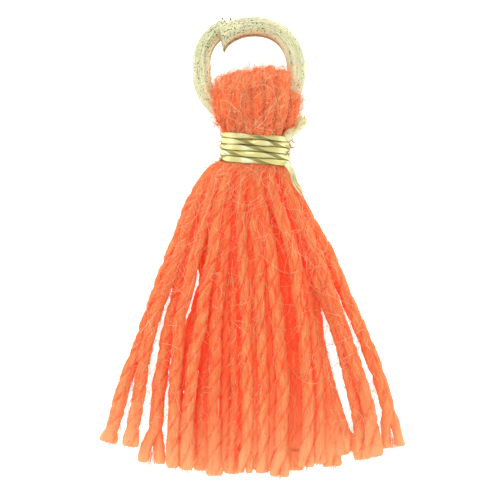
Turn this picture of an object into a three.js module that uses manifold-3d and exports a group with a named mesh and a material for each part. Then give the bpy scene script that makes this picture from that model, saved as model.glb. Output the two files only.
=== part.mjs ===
// A tassel charm: a hank of two-ply yarn folded over a split wire ring and bound under it with metallic thread.
// It lies on its back. Millimetres: X runs across it, Y from the cut ends up to the ring, Z up off the surface.
import * as THREE from "three";
import { LoftGeometry } from "three/addons/geometries/LoftGeometry.js";
import { mergeVertices } from "three/addons/utils/BufferGeometryUtils.js";
import Module from "manifold-3d";

const wasm = await Module();
wasm.setup();

const CORAL = "#ff7346";
const CHAMPAGNE = "#ddd8ab";
const FOIL = "#d9cf7e";

const GAP = 0.32; // between neighbouring pieces

// The ring: round wire, a little more than one turn, its front end bent inwards and its back end outwards.
const WIRE = 0.8;
const RING_RADIUS = 2.1; // to the middle of the wire
const RING_CENTRE = new THREE.Vector3(-0.09, 7.83, 1.4);
const RING_LEAN = THREE.MathUtils.degToRad(16.5); // the far side of the ring rests on the surface
const RING_START = THREE.MathUtils.degToRad(126); // angle of the front end, from +X
const RING_SWEEP = THREE.MathUtils.degToRad(372); // clockwise to the back end
const RING_STAGGER = 0.8; // height of the front end over the back end
// Bends of the two ends: share of the turn, reach at the end, and how evenly it grows towards it.
const FRONT_BEND = { share: 0.25, inwards: 0.2, growth: 2 };
const BACK_BEND = { share: 0.15, outwards: 0.2, growth: 0.7 };
// Slants of the pinch cuts: length along the wire for each unit across it, towards the ring's middle.
const FRONT_SLANT = -1.0;
const BACK_SLANT = -0.15;
const RING_STEPS = 40;
const RING_SIDES = 12;

// The binding: touching turns of thread round the neck, tilted a little.
const TURNS = 5;
const TURN_PITCH = 0.266;
const THREAD = 0.29;
const BINDING_RADIUS = 1.59; // over the thread, across the tassel
const BINDING_BORE = BINDING_RADIUS - THREAD;
const BINDING_CENTRE = new THREE.Vector3(0.19, 4.42, 1.56);
const BINDING_TILT = THREE.MathUtils.degToRad(-2.2);
const BINDING_FLATTENED = 0.97; // height over width
const AROUND = 32;
const RIDGE_STEPS = 3; // facets over each turn

// The loose ends of the thread, from inside the outer turns: places of the middle, widths and thicknesses.
const TAIL_WIDTH = 0.32;
const TAIL_THICKNESS = 0.16;
const UPPER_TAIL = [
  { x: 1.45, y: 4.8, z: 1.95 },
  { x: 1.78, y: 5.0, z: 1.9 },
  { x: 2.2, y: 5.4, z: 1.86 },
  { x: 2.55, y: 5.9, z: 1.9 },
];
const LOWER_TAIL = [
  { x: 1.35, y: 3.86, z: 2.25 },
  { x: 1.66, y: 3.62, z: 2.45 },
  { x: 1.97, y: 3.2, z: 2.56 },
  { x: 2.34, y: 2.5, z: 2.38 },
];

// The neck under the binding, and the head above it.
const NECK_RADIUS = BINDING_BORE * BINDING_FLATTENED - GAP;
const NECK_TOP = 5.45;
const TUNNEL_RADIUS = WIRE / 2 + GAP;
const HEAD_HEIGHT = 1.92; // of the middle of the head over the surface
// Filled heart of the hank: half width and half thickness of each level.
const HEART = [
  { y: -3.2, x: 0.45, halfWidth: 1.6, z: 0.55, halfThickness: 0.2 },
  { y: -1.2, x: 0.3, halfWidth: 1.75, z: 0.85, halfThickness: 0.42 },
  { y: 1.0, x: 0.2, halfWidth: 1.7, z: 1.16, halfThickness: 0.7 },
  { y: 2.5, x: 0.16, halfWidth: 1.3, z: 1.42, halfThickness: 0.85 },
  { y: 3.3, x: 0.19, halfWidth: 0.94, z: 1.54, halfThickness: 0.9 },
  { y: 4.42, x: 0.19, halfWidth: NECK_RADIUS, z: BINDING_CENTRE.z, halfThickness: 0.93 },
  { y: 5.4, x: 0.19, halfWidth: 0.93, z: 1.58, halfThickness: 0.91 },
  { y: 5.95, x: 0.16, halfWidth: 1.45, z: 1.85, halfThickness: 1.35 },
  { y: 6.5, x: 0.14, halfWidth: 1.7, z: HEAD_HEIGHT, halfThickness: 1.55 },
  { y: 7.2, x: 0.14, halfWidth: 1.55, z: HEAD_HEIGHT, halfThickness: 1.3 },
  { y: 7.65, x: 0.2, halfWidth: 1.3, z: HEAD_HEIGHT, halfThickness: 0.75 },
];
const HEART_SIDES = 20;

// Folded loops over the ring, left to right: share of the neck's half width, front leg, crown and back leg.
const LOOP_RADIUS = 0.34;
const LOOP_SIDES = 7;
const LOOP_STEPS = 13;
const LOOP_FRONT = 1.38; // height of the front legs over the middle of the head
const LOOP_BACK = 1.66; // depth of the back legs under it, flattened by the surface
const LEG_Y = 6.3; // level where the legs stand furthest out
const LOOPS = [
  { neck: -0.86, front: -1.42, crownX: -1.22, crownY: 7.66, back: -1.45 },
  { neck: -0.6, front: -0.92, crownX: -0.82, crownY: 7.8, back: -1.0 },
  { neck: -0.3, front: -0.42, crownX: -0.38, crownY: 7.9, back: -0.45 },
  { neck: 0.0, front: 0.08, crownX: 0.08, crownY: 7.98, back: 0.1 },
  { neck: 0.32, front: 0.6, crownX: 0.6, crownY: 8.12, back: 0.65 },
  { neck: 0.62, front: 1.12, crownX: 1.1, crownY: 8.0, back: 1.2 },
  { neck: 0.9, front: 1.6, crownX: 1.52, crownY: 7.9, back: 1.9 },
];

// Hanging ends of yarn: share of the neck's half width, x at three levels, and the cut end. "over" lies on "under".
const STRAND_RADIUS = 0.31;
const STRAND_SIDES = 6;
const STRAND_STEPS = 10;
const STRAND_CROWDING = 1.5; // brings the steps closer together towards the neck
const LEVELS = { mouth: 3.3, flare: 2.98, shoulder: 2.45, high: -0.04, middle: -3.38, low: -6.71 };
// x at the two levels just below the binding, from x at the high level.
const FLARE = { spread: 0.53, shift: -0.1 };
const SHOULDER = { spread: 0.645, shift: -0.18 };
const SINKING = 1.6; // how soon an end sinks from the neck to its resting height
const REST = { side: 0.26, under: 0.26, over: 0.8 }; // height of an end's middle at its cut
const LIFT = { side: 0, under: -1, over: 1 }; // at the neck, as a share of its half thickness there
const STRANDS = [
  { lies: "side", neck: -0.86, high: -3.42, middle: -4.64, low: -5.82, endX: -6.36, endY: -8.58 },
  { lies: "over", neck: -0.74, high: -3.11, middle: -4.38, low: -5.04, endX: -5.33, endY: -8.76 },
  { lies: "side", neck: -0.65, high: -2.71, middle: -3.6, low: -4.13, endX: -4.4, endY: -9.5 },
  { lies: "over", neck: -0.56, high: -2.38, middle: -3.16, low: -3.38, endX: -3.47, endY: -9.69 },
  { lies: "over", neck: -0.45, high: -1.69, middle: -2.27, low: -2.76, endX: -2.89, endY: -9.78 },
  { lies: "under", neck: -0.41, high: -1.42, middle: -1.91, low: -2.13, endX: -2.27, endY: -9.82 },
  { lies: "over", neck: -0.29, high: -1.2, middle: -1.56, low: -1.64, endX: -1.64, endY: -10.04 },
  { lies: "over", neck: -0.21, high: -0.76, middle: -0.73, low: -0.71, endX: -0.89, endY: -9.96 },
  { lies: "over", neck: -0.06, high: -0.4, middle: -0.22, low: -0.13, endX: -0.22, endY: -9.91 },
  { lies: "over", neck: 0.15, high: 0.31, middle: 0.44, low: 0.58, endX: 0.49, endY: -9.91 },
  { lies: "over", neck: 0.33, high: 0.8, middle: 1.16, low: 1.33, endX: 1.2, endY: -10.08 },
  { lies: "under", neck: 0.39, high: 1.2, middle: 1.76, low: 1.96, endX: 1.96, endY: -9.82 },
  { lies: "over", neck: 0.56, high: 1.78, middle: 2.27, low: 2.53, endX: 2.44, endY: -9.64 },
  { lies: "over", neck: 0.59, high: 1.87, middle: 2.62, low: 3.02, endX: 2.98, endY: -9.51 },
  { lies: "under", neck: 0.65, high: 1.96, middle: 2.76, low: 3.42, endX: 3.64, endY: -9.64 },
  { lies: "side", neck: 0.68, high: 2.04, middle: 2.93, low: 3.78, endX: 4.44, endY: -8.98 },
  { lies: "side", neck: 0.77, high: 2.4, middle: 3.6, low: 4.58, endX: 4.98, endY: -9.33 },
  { lies: "over", neck: 0.86, high: 2.8, middle: 4.0, low: 5.11, endX: 5.51, endY: -9.2 },
  { lies: "side", neck: 0.98, high: 3.29, middle: 4.76, low: 6.0, endX: 6.3, endY: -8.8 },
  { lies: "under", neck: -0.60, high: -2.5, middle: -3.0, low: -3.0, endX: -3.1, endY: -9.4 },
  { lies: "under", neck: -0.33, high: -1.0, middle: -1.2, low: -1.2, endX: -1.25, endY: -9.75 },
  { lies: "under", neck: -0.13, high: -0.55, middle: -0.5, low: -0.45, endX: -0.5, endY: -9.7 },
  { lies: "under", neck: 0.07, high: 0.0, middle: 0.1, low: 0.2, endX: 0.12, endY: -9.8 },
  { lies: "under", neck: 0.23, high: 0.55, middle: 0.8, low: 0.95, endX: 0.85, endY: -9.7 },
  { lies: "under", neck: 0.47, high: 1.5, middle: 2.1, low: 2.75, endX: 2.75, endY: -9.4 },
];

// Sections of a round bar along a list of places. The section's second axis leans towards "up" all the way.
function barSections(places, up, sides, halfWidth, halfHeight, slants = [0, 0]) {
  return places.map((place, i) => {
    const before = places[Math.max(i - 1, 0)];
    const after = places[Math.min(i + 1, places.length - 1)];
    const along = after.clone().sub(before).normalize();
    const across = up(i).clone().cross(along).normalize().negate();
    const over = along.clone().cross(across);
    const slant = i === 0 ? slants[0] : i === places.length - 1 ? slants[1] : 0;
    return Array.from({ length: sides }, (_, k) => {
      const turn = (k / sides) * 2 * Math.PI;
      const acrossBy = Math.cos(turn) * halfWidth;
      return place
        .clone()
        .addScaledVector(across, acrossBy)
        .addScaledVector(over, Math.sin(turn) * halfHeight)
        .addScaledVector(along, slant * acrossBy);
    });
  });
}

function solid(geometry) {
  const bare = new THREE.BufferGeometry().setAttribute("position", geometry.getAttribute("position"));
  bare.setIndex(geometry.index);
  const merged = mergeVertices(bare, 1e-5);
  const made = new wasm.Manifold(
    new wasm.Mesh({
      numProp: 3,
      vertProperties: merged.attributes.position.array,
      triVerts: new Uint32Array(merged.index.array),
    }),
  );
  if (made.volume() <= 0) {
    throw new Error("a piece is inside out");
  }
  return made;
}

function geometryOf(made) {
  const mesh = made.getMesh();
  const geometry = new THREE.BufferGeometry();
  geometry.setAttribute("position", new THREE.BufferAttribute(new Float32Array(mesh.vertProperties), 3));
  geometry.setIndex(new THREE.BufferAttribute(new Uint32Array(mesh.triVerts), 1));
  geometry.computeVertexNormals();
  return geometry;
}

function bar(places, up, sides, halfWidth, halfHeight, slants) {
  const sections = barSections(places, up, sides, halfWidth, halfHeight, slants);
  return solid(new LoftGeometry(sections, { capStart: true, capEnd: true }));
}

function smooth(points, steps, crowding = 1) {
  const curve = new THREE.CatmullRomCurve3(points, false, "centripetal");
  return Array.from({ length: steps + 1 }, (_, i) => curve.getPointAt((i / steps) ** crowding));
}

// Everything above the surface that the charm lies on.
function aboveSurface() {
  const box = new THREE.BoxGeometry(40, 60, 20);
  box.translate(0, 0, 10);
  return solid(box);
}

// Middle of the wire at a share of the turn from the front end, in the part's frame.
function ringPlace(share) {
  const angle = RING_START - share * RING_SWEEP;
  const inwards = FRONT_BEND.inwards * Math.max(0, 1 - share / FRONT_BEND.share) ** FRONT_BEND.growth;
  const outwards = BACK_BEND.outwards * Math.max(0, 1 - (1 - share) / BACK_BEND.share) ** BACK_BEND.growth;
  const radius = RING_RADIUS - inwards + outwards;
  const flat = new THREE.Vector3(
    radius * Math.cos(angle),
    radius * Math.sin(angle),
    RING_STAGGER * (0.5 - share),
  );
  return flat.applyAxisAngle(new THREE.Vector3(1, 0, 0), -RING_LEAN).add(RING_CENTRE);
}

const ringNormal = new THREE.Vector3(0, 0, 1).applyAxisAngle(new THREE.Vector3(1, 0, 0), -RING_LEAN);

function ringBar(from, to, steps, radius, slants) {
  const places = Array.from({ length: steps + 1 }, (_, i) => ringPlace(from + ((to - from) * i) / steps));
  return bar(places, () => ringNormal, RING_SIDES, radius, radius, slants);
}

function makeJumpRing() {
  return ringBar(0, 1, RING_STEPS, WIRE / 2, [FRONT_SLANT, BACK_SLANT]);
}

// Filled heart, lofted through ellipses across the tassel.
function makeHeart() {
  const sections = HEART.map((level) =>
    Array.from({ length: HEART_SIDES }, (_, k) => {
      const turn = (k / HEART_SIDES) * 2 * Math.PI;
      return new THREE.Vector3(
        level.x - level.halfWidth * Math.cos(turn),
        level.y,
        level.z + level.halfThickness * Math.sin(turn),
      );
    }),
  );
  return solid(new LoftGeometry(sections, { capStart: true, capEnd: true }));
}

// Place in the neck for a share of its half width and a share of its half thickness there. The neck's ends
// follow the tilt of the binding.
function neckPlace(share, lift, y, radius) {
  const reach = NECK_RADIUS - radius;
  const across = share * reach;
  const rise = lift * reach * Math.sqrt(1 - share ** 2);
  return new THREE.Vector3(
    BINDING_CENTRE.x + across,
    y + across * Math.tan(BINDING_TILT),
    BINDING_CENTRE.z + rise,
  );
}

// One folded length: up the front from the neck, over the ring's wire and down the back.
function makeLoop(loop) {
  const at = (x, y, z) => new THREE.Vector3(x, y, z);
  const shoulderY = loop.crownY - 0.75;
  const points = [
    neckPlace(loop.neck, 1, NECK_TOP - 0.7, LOOP_RADIUS),
    neckPlace(loop.neck, 1, NECK_TOP, LOOP_RADIUS),
    at(loop.front, LEG_Y, HEAD_HEIGHT + LOOP_FRONT),
    at(loop.crownX, shoulderY, HEAD_HEIGHT + LOOP_FRONT * 0.86),
    at(loop.crownX, loop.crownY - LOOP_RADIUS, HEAD_HEIGHT),
    at(loop.crownX, shoulderY, HEAD_HEIGHT - LOOP_BACK * 0.86),
    at(loop.back, LEG_Y, HEAD_HEIGHT - LOOP_BACK),
    neckPlace(loop.neck, -1, NECK_TOP, LOOP_RADIUS),
    neckPlace(loop.neck, -1, NECK_TOP - 0.7, LOOP_RADIUS),
  ];
  const across = new THREE.Vector3(1, 0, 0);
  return bar(smooth(points, LOOP_STEPS), () => across, LOOP_SIDES, LOOP_RADIUS, LOOP_RADIUS);
}

// One hanging end, from inside the neck to its cut, sinking to its resting height as it goes.
function makeStrand(strand) {
  const mouth = neckPlace(strand.neck, LIFT[strand.lies], LEVELS.mouth, STRAND_RADIUS);
  const rest = REST[strand.lies];
  const heightAt = (y) => {
    const left = (y - strand.endY) / (LEVELS.mouth - strand.endY);
    return rest + (mouth.z - rest) * left ** SINKING;
  };
  const stations = [
    [strand.high * FLARE.spread + FLARE.shift, LEVELS.flare],
    [strand.high * SHOULDER.spread + SHOULDER.shift, LEVELS.shoulder],
    [strand.high, LEVELS.high],
    [strand.middle, LEVELS.middle],
    [strand.low, LEVELS.low],
    [strand.endX, strand.endY],
  ];
  const points = stations.map(([x, y]) => new THREE.Vector3(x, y, heightAt(y)));
  points.unshift(mouth.clone().setY(mouth.y + 0.6), mouth);
  const up = new THREE.Vector3(0, 0, 1);
  const places = smooth(points, STRAND_STEPS, STRAND_CROWDING);
  return bar(places, () => up, STRAND_SIDES, STRAND_RADIUS, STRAND_RADIUS);
}

function makeYarn() {
  const pieces = [makeHeart(), ...LOOPS.map(makeLoop), ...STRANDS.map(makeStrand)];
  const hank = wasm.Manifold.union(pieces);
  const tunnel = ringBar(0.3, 0.82, 22, TUNNEL_RADIUS, [0, 0]);
  const bored = hank.subtract(tunnel).intersect(aboveSurface());
  return bored.decompose().find((body) => body.volume() > 0.5); // its outer skin, without pockets inside
}

// Turns of thread as ridges of one sleeve, with the thread's two loose ends.
function makeBinding() {
  const low = (-TURNS * TURN_PITCH) / 2;
  const profile = [new THREE.Vector2(BINDING_BORE, low + 0.05)];
  for (let turn = 0; turn < TURNS; turn += 1) {
    for (let k = turn === 0 ? 0 : 1; k <= RIDGE_STEPS; k += 1) {
      const round = Math.sin((k / RIDGE_STEPS) * Math.PI);
      const y = low + (turn + k / RIDGE_STEPS) * TURN_PITCH;
      profile.push(new THREE.Vector2(BINDING_RADIUS - (THREAD / 3) * (1 - round), y));
    }
  }
  profile.push(new THREE.Vector2(BINDING_BORE, -low - 0.05));
  profile.push(profile[0].clone());
  const sleeve = new THREE.LatheGeometry(profile, AROUND);
  sleeve.scale(1, 1, BINDING_FLATTENED);
  sleeve.rotateZ(BINDING_TILT);
  sleeve.translate(...BINDING_CENTRE.toArray());
  const up = new THREE.Vector3(0, 0, 1);
  const tails = [UPPER_TAIL, LOWER_TAIL].map((route) => {
    const places = smooth(route.map((p) => new THREE.Vector3(p.x, p.y, p.z)), 7);
    return bar(places, () => up, 6, TAIL_WIDTH / 2, TAIL_THICKNESS / 2);
  });
  return wasm.Manifold.union([solid(sleeve), ...tails]).intersect(aboveSurface());
}

function piece(name, made, finish) {
  const mesh = new THREE.Mesh(geometryOf(made), new THREE.MeshStandardMaterial(finish));
  mesh.name = name;
  return mesh;
}

const tassel = new THREE.Group();
tassel.add(
  piece("jump_ring", makeJumpRing(), { color: CHAMPAGNE, roughness: 0.45, metalness: 1 }),
  piece("yarn", makeYarn(), { color: CORAL, roughness: 0.95, metalness: 0 }),
  piece("binding", makeBinding(), { color: FOIL, roughness: 0.35, metalness: 1 }),
);

// The part's frame has its middle over the origin.
const box = new THREE.Box3().setFromObject(tassel, true);
tassel.position.set(-(box.min.x + box.max.x) / 2, -(box.min.y + box.max.y) / 2, 0);

export default tassel;
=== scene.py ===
"""A tassel charm: coral yarn folded over a split ring and bound under it with foil thread, lying on its back.

Tables and routes are in millimetres, as the charm lies: X across it, Y from the cut ends up to the ring and Z
up. The frame's own middle is a little off theirs, and lay_shift() says by how much.
"""

import math
from collections import namedtuple

import bpy
import numpy as np
from bpy.props import FloatProperty, FloatVectorProperty, IntProperty, PointerProperty
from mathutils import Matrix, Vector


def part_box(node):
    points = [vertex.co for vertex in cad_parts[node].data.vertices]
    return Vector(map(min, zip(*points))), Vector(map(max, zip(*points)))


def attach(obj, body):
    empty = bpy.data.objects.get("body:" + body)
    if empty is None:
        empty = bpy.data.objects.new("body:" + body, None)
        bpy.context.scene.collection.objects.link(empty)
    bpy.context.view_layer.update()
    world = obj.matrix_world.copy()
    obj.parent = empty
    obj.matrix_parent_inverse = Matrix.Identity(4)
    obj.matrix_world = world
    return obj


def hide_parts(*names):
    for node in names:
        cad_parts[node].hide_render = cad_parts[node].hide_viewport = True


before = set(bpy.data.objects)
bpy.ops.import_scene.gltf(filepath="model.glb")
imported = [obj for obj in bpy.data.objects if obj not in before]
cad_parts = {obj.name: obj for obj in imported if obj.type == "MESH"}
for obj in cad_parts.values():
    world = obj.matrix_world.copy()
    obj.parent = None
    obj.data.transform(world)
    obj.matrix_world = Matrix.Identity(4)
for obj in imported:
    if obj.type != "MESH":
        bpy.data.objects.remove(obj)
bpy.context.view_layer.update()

bl_info = {
    "name": "Tassel Charm",
    "version": (1, 0, 0),
    "blender": (4, 5, 0),
    "location": "View3D > Sidebar > Tassel",
    "description": "Builds a yarn tassel on a split ring, with its binding and its loose fibres",
    "category": "Object",
}

MM = 0.001
BODY = "root"
X_AXIS = np.array([1.0, 0.0, 0.0])
Z_AXIS = np.array([0.0, 0.0, 1.0])
TURN = 2 * math.pi

# The picture: 500 px square, 22.5 px a millimetre.
PICTURE_PX = 500
PX_PER_MM = 22.5
PICTURE_MIDDLE = (-0.044, -0.044)
CAMERA_HEIGHT = 300.0
SENSOR = 36.0
# The floor and the large soft light, in metres.
FLOOR_SIZE = 2.0
KEY_SIZE = 0.3
KEY_PLACE = (-0.1, 0.35, 0.45)

# The ring's wire, as it lies. Its front end is bent inwards and its back end outwards: over a share of the
# turn, by how much, growing with a power.
WIRE = 0.8
RING_RADIUS = 2.1
RING_CENTRE = np.array([-0.09, 7.83, 1.4])
RING_LEAN = math.radians(16.5)
RING_NORMAL = np.array([0.0, math.sin(RING_LEAN), math.cos(RING_LEAN)])
RING_START = math.radians(131)
RING_SWEEP = math.radians(377)
RING_STAGGER = 0.8
Bend = namedtuple("Bend", "share reach growth")
FRONT_BEND = Bend(0.25, 0.32, 2.0)
BACK_BEND = Bend(0.15, 0.3, 0.7)
FRONT_SLANT = 0.85
BACK_SLANT = 0.15
CUT_LENGTH = 0.9
# The shoulders stand out a little from the circle, the cutter squeezed the front end wider, and it left burrs
# at these shares of the turn, each with its lean and its length.
SHOULDERS = 0.07
SQUEEZED, SQUEEZED_OVER = 0.25, 2.5
RING_RINGS, RING_SIDES = 420, 40
Burr = namedtuple("Burr", "share lean length")
BURRS = [Burr(1.0, 0.2, 0.15), Burr(0.06, 0.1, 0.27)]
BURR_RADIUS = 0.05
BURR_WEAR = (1.0, -2.0, 0.5)

# The neck and the binding round it.
NECK = np.array([0.19, 4.42, 1.56])
NECK_RADIUS = 1.3
BINDING_RADIUS = 1.59
BINDING_TILT = math.radians(-2.2)
NECK_SKEW = math.tan(BINDING_TILT * 2)
BINDING_FLATTENED = 0.97
TURNS = 5
TURN_PITCH = 0.266
THREAD = 0.29
BINDING_OVERRUN = (-0.35, 0.1)
BINDING_RINGS, TAIL_RINGS = 900, 60
FACET_SPACING = 2.1
FACET_FLATNESS = 0.75
# The foil's half sizes over half its width, and the place and width of its painted glint across a facet.
FOIL_WIDE, FOIL_THICK = 1.04, 0.86
GLINT_PLACE, GLINT_WIDTH = 0.26, 0.11
# Where the foil shows its narrow side on the front: distances right of the middle, from the lowest turn up.
# Between two of them it turns over once in each spacing, and it dwells on its broad side by the flatness.
NARROW_SIDES = [[0.12], [0.81, -0.9], [0.05], [0.77, -0.32], [0.11]]
UPPER_TAIL = [(1.5, 4.9, 2.25), (1.75, 5.13, 2.32), (2.02, 5.41, 2.3), (2.27, 5.63, 2.22), (2.5, 5.84, 2.1)]
LOWER_TAIL = [(1.42, 3.86, 2.3), (1.6, 3.7, 2.45), (1.83, 3.36, 2.45), (1.93, 2.95, 2.35), (2.15, 2.63, 2.2),
              (2.34, 2.4, 2.05)]
Tail = namedtuple("Tail", "route half_width strips spread turned frays")
TAILS = [Tail(UPPER_TAIL, 0.095, 4, 0.4, (-0.05, 0.2), 40), Tail(LOWER_TAIL, 0.06, 3, 0.22, (0.0, 0.3), 24)]
# Frayed core thread at the sides of the binding: side, lowest and highest, and how many hairs.
Fray = namedtuple("Fray", "side low high count")
FRAYS = [Fray(1, 4.2, 5.1, 40), Fray(-1, 3.85, 4.8, 30)]

# Levels of the skirt along Y, and its strands from left to right: share of the neck's half width and of its
# half thickness, x at the levels, the cut end, the height of the strand's middle there, how far the two plies
# part at the cut, girth over the usual one, how clearly the twist shows and how deep in the shade it lies.
MOUTH, FLARE, SHOULDER, HIGH, MIDDLE, LOW = 3.9, 3.32, 2.45, -0.04, -3.38, -6.71
FLARE_SPREAD, FLARE_SHIFT = 0.49, -0.12
SHOULDER_SPREAD, SHOULDER_SHIFT = 0.645, -0.18
SINKING = 1.6
Strand = namedtuple("Strand", "neck lift high middle low end_x end_y rest splay girth twisted shade")
STRANDS = [Strand(*row) for row in (
    (-0.86, 0.1, -3.42, -4.64, -5.82, -6.36, -8.58, 0.33, 0.08, 1.0, 0.7, 0),
    (-0.74, 0.7, -3.11, -4.38, -5.04, -5.33, -8.76, 0.6, 0.05, 0.95, 0.55, 0.05),
    (-0.65, 0.5, -2.71, -3.60, -4.13, -4.40, -9.50, 0.36, 0.3, 1, 0.3, 0.1),
    (-0.56, 0.9, -2.38, -3.16, -3.38, -3.47, -9.69, 0.85, 0, 0.95, 0.5, 0.15),
    (-0.45, 1.0, -1.69, -2.27, -2.76, -2.89, -9.78, 0.95, 0, 0.95, 0.85, 0),
    (-0.41, 0.2, -1.42, -1.91, -2.13, -2.27, -9.82, 0.33, 0, 0.9, 0.4, 0.5),
    (-0.29, 0.8, -1.20, -1.56, -1.64, -1.64, -10.04, 0.8, 0.05, 1, 0.6, 0.4),
    (-0.21, 0.75, -0.76, -0.73, -0.71, -0.89, -9.96, 0.5, 0.1, 0.72, 0.5, 0.35),
    (-0.06, 1.0, -0.40, -0.22, -0.15, -0.24, -9.91, 0.9, 0.08, 0.84, 0.9, 0),
    (0.15, 1.0, 0.31, 0.44, 0.56, 0.49, -9.91, 0.85, 0.08, 0.84, 0.9, 0),
    (0.33, 0.95, 0.82, 1.2, 1.4, 1.25, -10.08, 0.95, 0.12, 0.98, 0.65, 0.1),
    (0.39, 0.3, 1.20, 1.76, 1.96, 1.96, -9.82, 0.33, 0.08, 0.95, 0.5, 0.4),
    (0.56, 1.0, 1.78, 2.27, 2.53, 2.44, -9.64, 0.95, 0.08, 0.92, 0.7, 0.1),
    (0.59, 0.7, 1.87, 2.62, 3.02, 2.98, -9.51, 0.6, 0.05, 0.95, 0.5, 0.2),
    (0.65, 0.2, 1.96, 2.76, 3.42, 3.64, -9.64, 0.33, 0.12, 0.95, 0.4, 0.3),
    (0.68, 0.1, 2.04, 2.80, 3.70, 4.44, -8.98, 0.33, 0.1, 0.85, 0.4, 0.1),
    (0.77, 0.4, 2.40, 3.70, 4.60, 4.98, -9.33, 0.5, 0.1, 0.92, 0.5, 0.15),
    (0.86, 0.7, 2.80, 4.00, 5.11, 5.51, -9.20, 0.8, 0.1, 1, 0.6, 0.1),
    (0.98, 0.1, 3.29, 4.76, 6.00, 6.30, -8.80, 0.33, 0.2, 1, 0.7, 0),
)]
# Deeper strands in the grooves between two neighbours, by the number of the left one.
BETWEEN = [5, 6, 8, 9, 10, 11, 12, 13, 14]
BETWEEN_SUNK = 0.24
# Strands underneath, which lie on the surface: a fan between these x at the levels and the cut.
UNDER_COUNT = 13
UNDER_FAN = {"neck": (-0.75, 0.75), "high": (-1.7, 2.6), "middle": (-2.6, 2.9), "low": (-3.3, 3.4),
             "end_x": (-3.1, 3.2), "end_y": (-9.45, -9.5)}
UNDER_REST = 0.33

# Folded lengths over the ring: share of the neck's half width, x of the front leg, the crown's x and y, x of
# the back leg, how far the front leg stands up and the legs' y.
HEAD_HEIGHT = 1.92
NECK_INSIDE, NECK_TOP = 4.7, 5.35
LOOP_FRONT, LOOP_BACK = 1.36, 1.6
# A loop's rounding: its share of the height, and how far the rounding and the middle lie below the crown.
ROUNDED, ROUNDED_BELOW, MIDDLE_BELOW = 0.86, 0.72, 0.33
LOOP_GIRTH, LOOP_TWISTED = 1.03, 0.3
Loop = namedtuple("Loop", "neck front crown_x crown_y back lift leg_y")
LOOPS = [Loop(*row) for row in (
    (-0.95, -1.38, -1.32, 7.45, -1.45, -0.35, 6.35),
    (-0.72, -1.05, -1.06, 7.76, -1.1, 0.0, 6.3),
    (-0.42, -0.57, -0.6, 7.86, -0.6, 0.12, 6.3),
    (-0.18, -0.2, -0.2, 7.92, -0.2, 0.05, 6.3),
    (0.12, 0.31, 0.28, 8.04, 0.3, 0.14, 6.3),
    (0.4, 0.84, 0.82, 8.12, 0.8, 0.12, 6.3),
    (0.7, 1.37, 1.37, 8.0, 1.35, 0.1, 6.32),
    (0.98, 1.8, 1.84, 7.0, 1.75, -0.3, 6.05),
)]

# Filled heart of the hank behind the strands, level by level: y, x, half width, z and half thickness.
HEART = np.array([
    (-4.0, 0.1, 1.6, 0.42, 0.12),
    (-1.2, 0.2, 1.75, 0.62, 0.4),
    (1.0, 0.2, 1.9, 0.95, 0.75),
    (2.5, 0.16, 1.5, 1.3, 0.95),
    (3.3, 0.19, 1.15, 1.54, 1.0),
    (4.42, 0.19, 1.22, 1.56, 1.18),
    (5.4, 0.19, 1.15, 1.6, 1.1),
    (5.95, 0.16, 1.5, 1.85, 1.35),
    (6.5, 0.14, 1.65, 1.92, 1.4),
    (7.2, 0.14, 1.5, 1.92, 1.2),
    (7.6, 0.2, 1.3, 1.92, 0.8),
])

# Packed yarn under the skirt's front, level by level: y and x of its left and right edges.
BED = np.array([
    (-8.9, -1.9, 3.2),
    (-8.0, -2.2, 3.7),
    (-6.7, -2.1, 3.6),
    (-5.5, -1.65, 3.2),
    (-3.6, -1.7, 2.9),
    (-2.0, -2.05, 2.6),
    (0.0, -2.6, 2.5),
    (1.5, -2.3, 2.0),
    (2.5, -1.8, 1.5),
    (3.3, -1.2, 1.3),
    (3.7, -1.0, 1.3),
])
BED_DEPTH, BED_LEAST = 0.25, 0.3
# Yarn this far under the tops of the strands lies in full shade.
SHADED_UNDER = 0.2

# Map of the yarn's height over the surface: its lowest corner, its step and its count of squares each way.
COVER_CORNER = np.array([-7.6, -11.2])
COVER_STEP = 0.08
COVER_SQUARES = (190, 250)

# Sections of the plies, as shares of the strand: how far a ply's middle is from the strand's, and its half
# sizes towards that middle and round it.
Section = namedtuple("Section", "out deep wide")
OPEN_TWIST = Section(0.225, 0.275, 0.385)
SOFT_TWIST = Section(0.13, 0.36, 0.46)
PLY_COLUMNS = ("splay", "girth", "twisted", "shade")
# Places along a strand and angles round it: in front, in the grooves, underneath and over the ring.
FRONT_GRID, BETWEEN_GRID, UNDER_GRID, LOOP_GRID = (130, 12), (110, 10), (90, 10), (120, 14)
# Slow waves along a strand: sideways, in the pace of the twist and in its girth.
Wave = namedtuple("Wave", "shortest longest size")
WANDER = Wave(2.5, 5.0, 0.04)
PACE = Wave(3.0, 6.0, 0.18)
SWELL = Wave(0.7, 2.0, 0.08)
RIPPLE = Wave(0.35, 0.7, 0.05)
# Waves of the foil thread: of its radius round the neck, and of its brightness.
THREAD_WANDER = Wave(0.8, 2.6, 0.035)
THREAD_CLOUDS = Wave(1.0, 3.5, 1.0)
# Towards the cut: from this splay on the plies part, over a longer way and losing all of their twist. The end
# spreads, thins at its very last and gets paler.
PARTED, PARTED_OVER, WHOLE_OVER, WHOLE_LOOSENED = 0.15, 1.9, 0.9, 0.5
SPREAD, SPREAD_OVER = 0.3, 1.8
THINNED, THINNED_OVER = 0.35, 0.05
PALER_OVER = 1.7
# The fibres in a ply: turns round it for one turn of the plies, and their distance from its middle.
FIBRE_TURN = 1.38
FIBRE_RADIUS = 0.27

SKIRT_SEED, HEAD_SEED, BINDING_SEED = 11, 23, 5
# Fibres that stand out of a cut end, in front and underneath.
FRONT_TUFT, UNDER_TUFT = 50, 16
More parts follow.
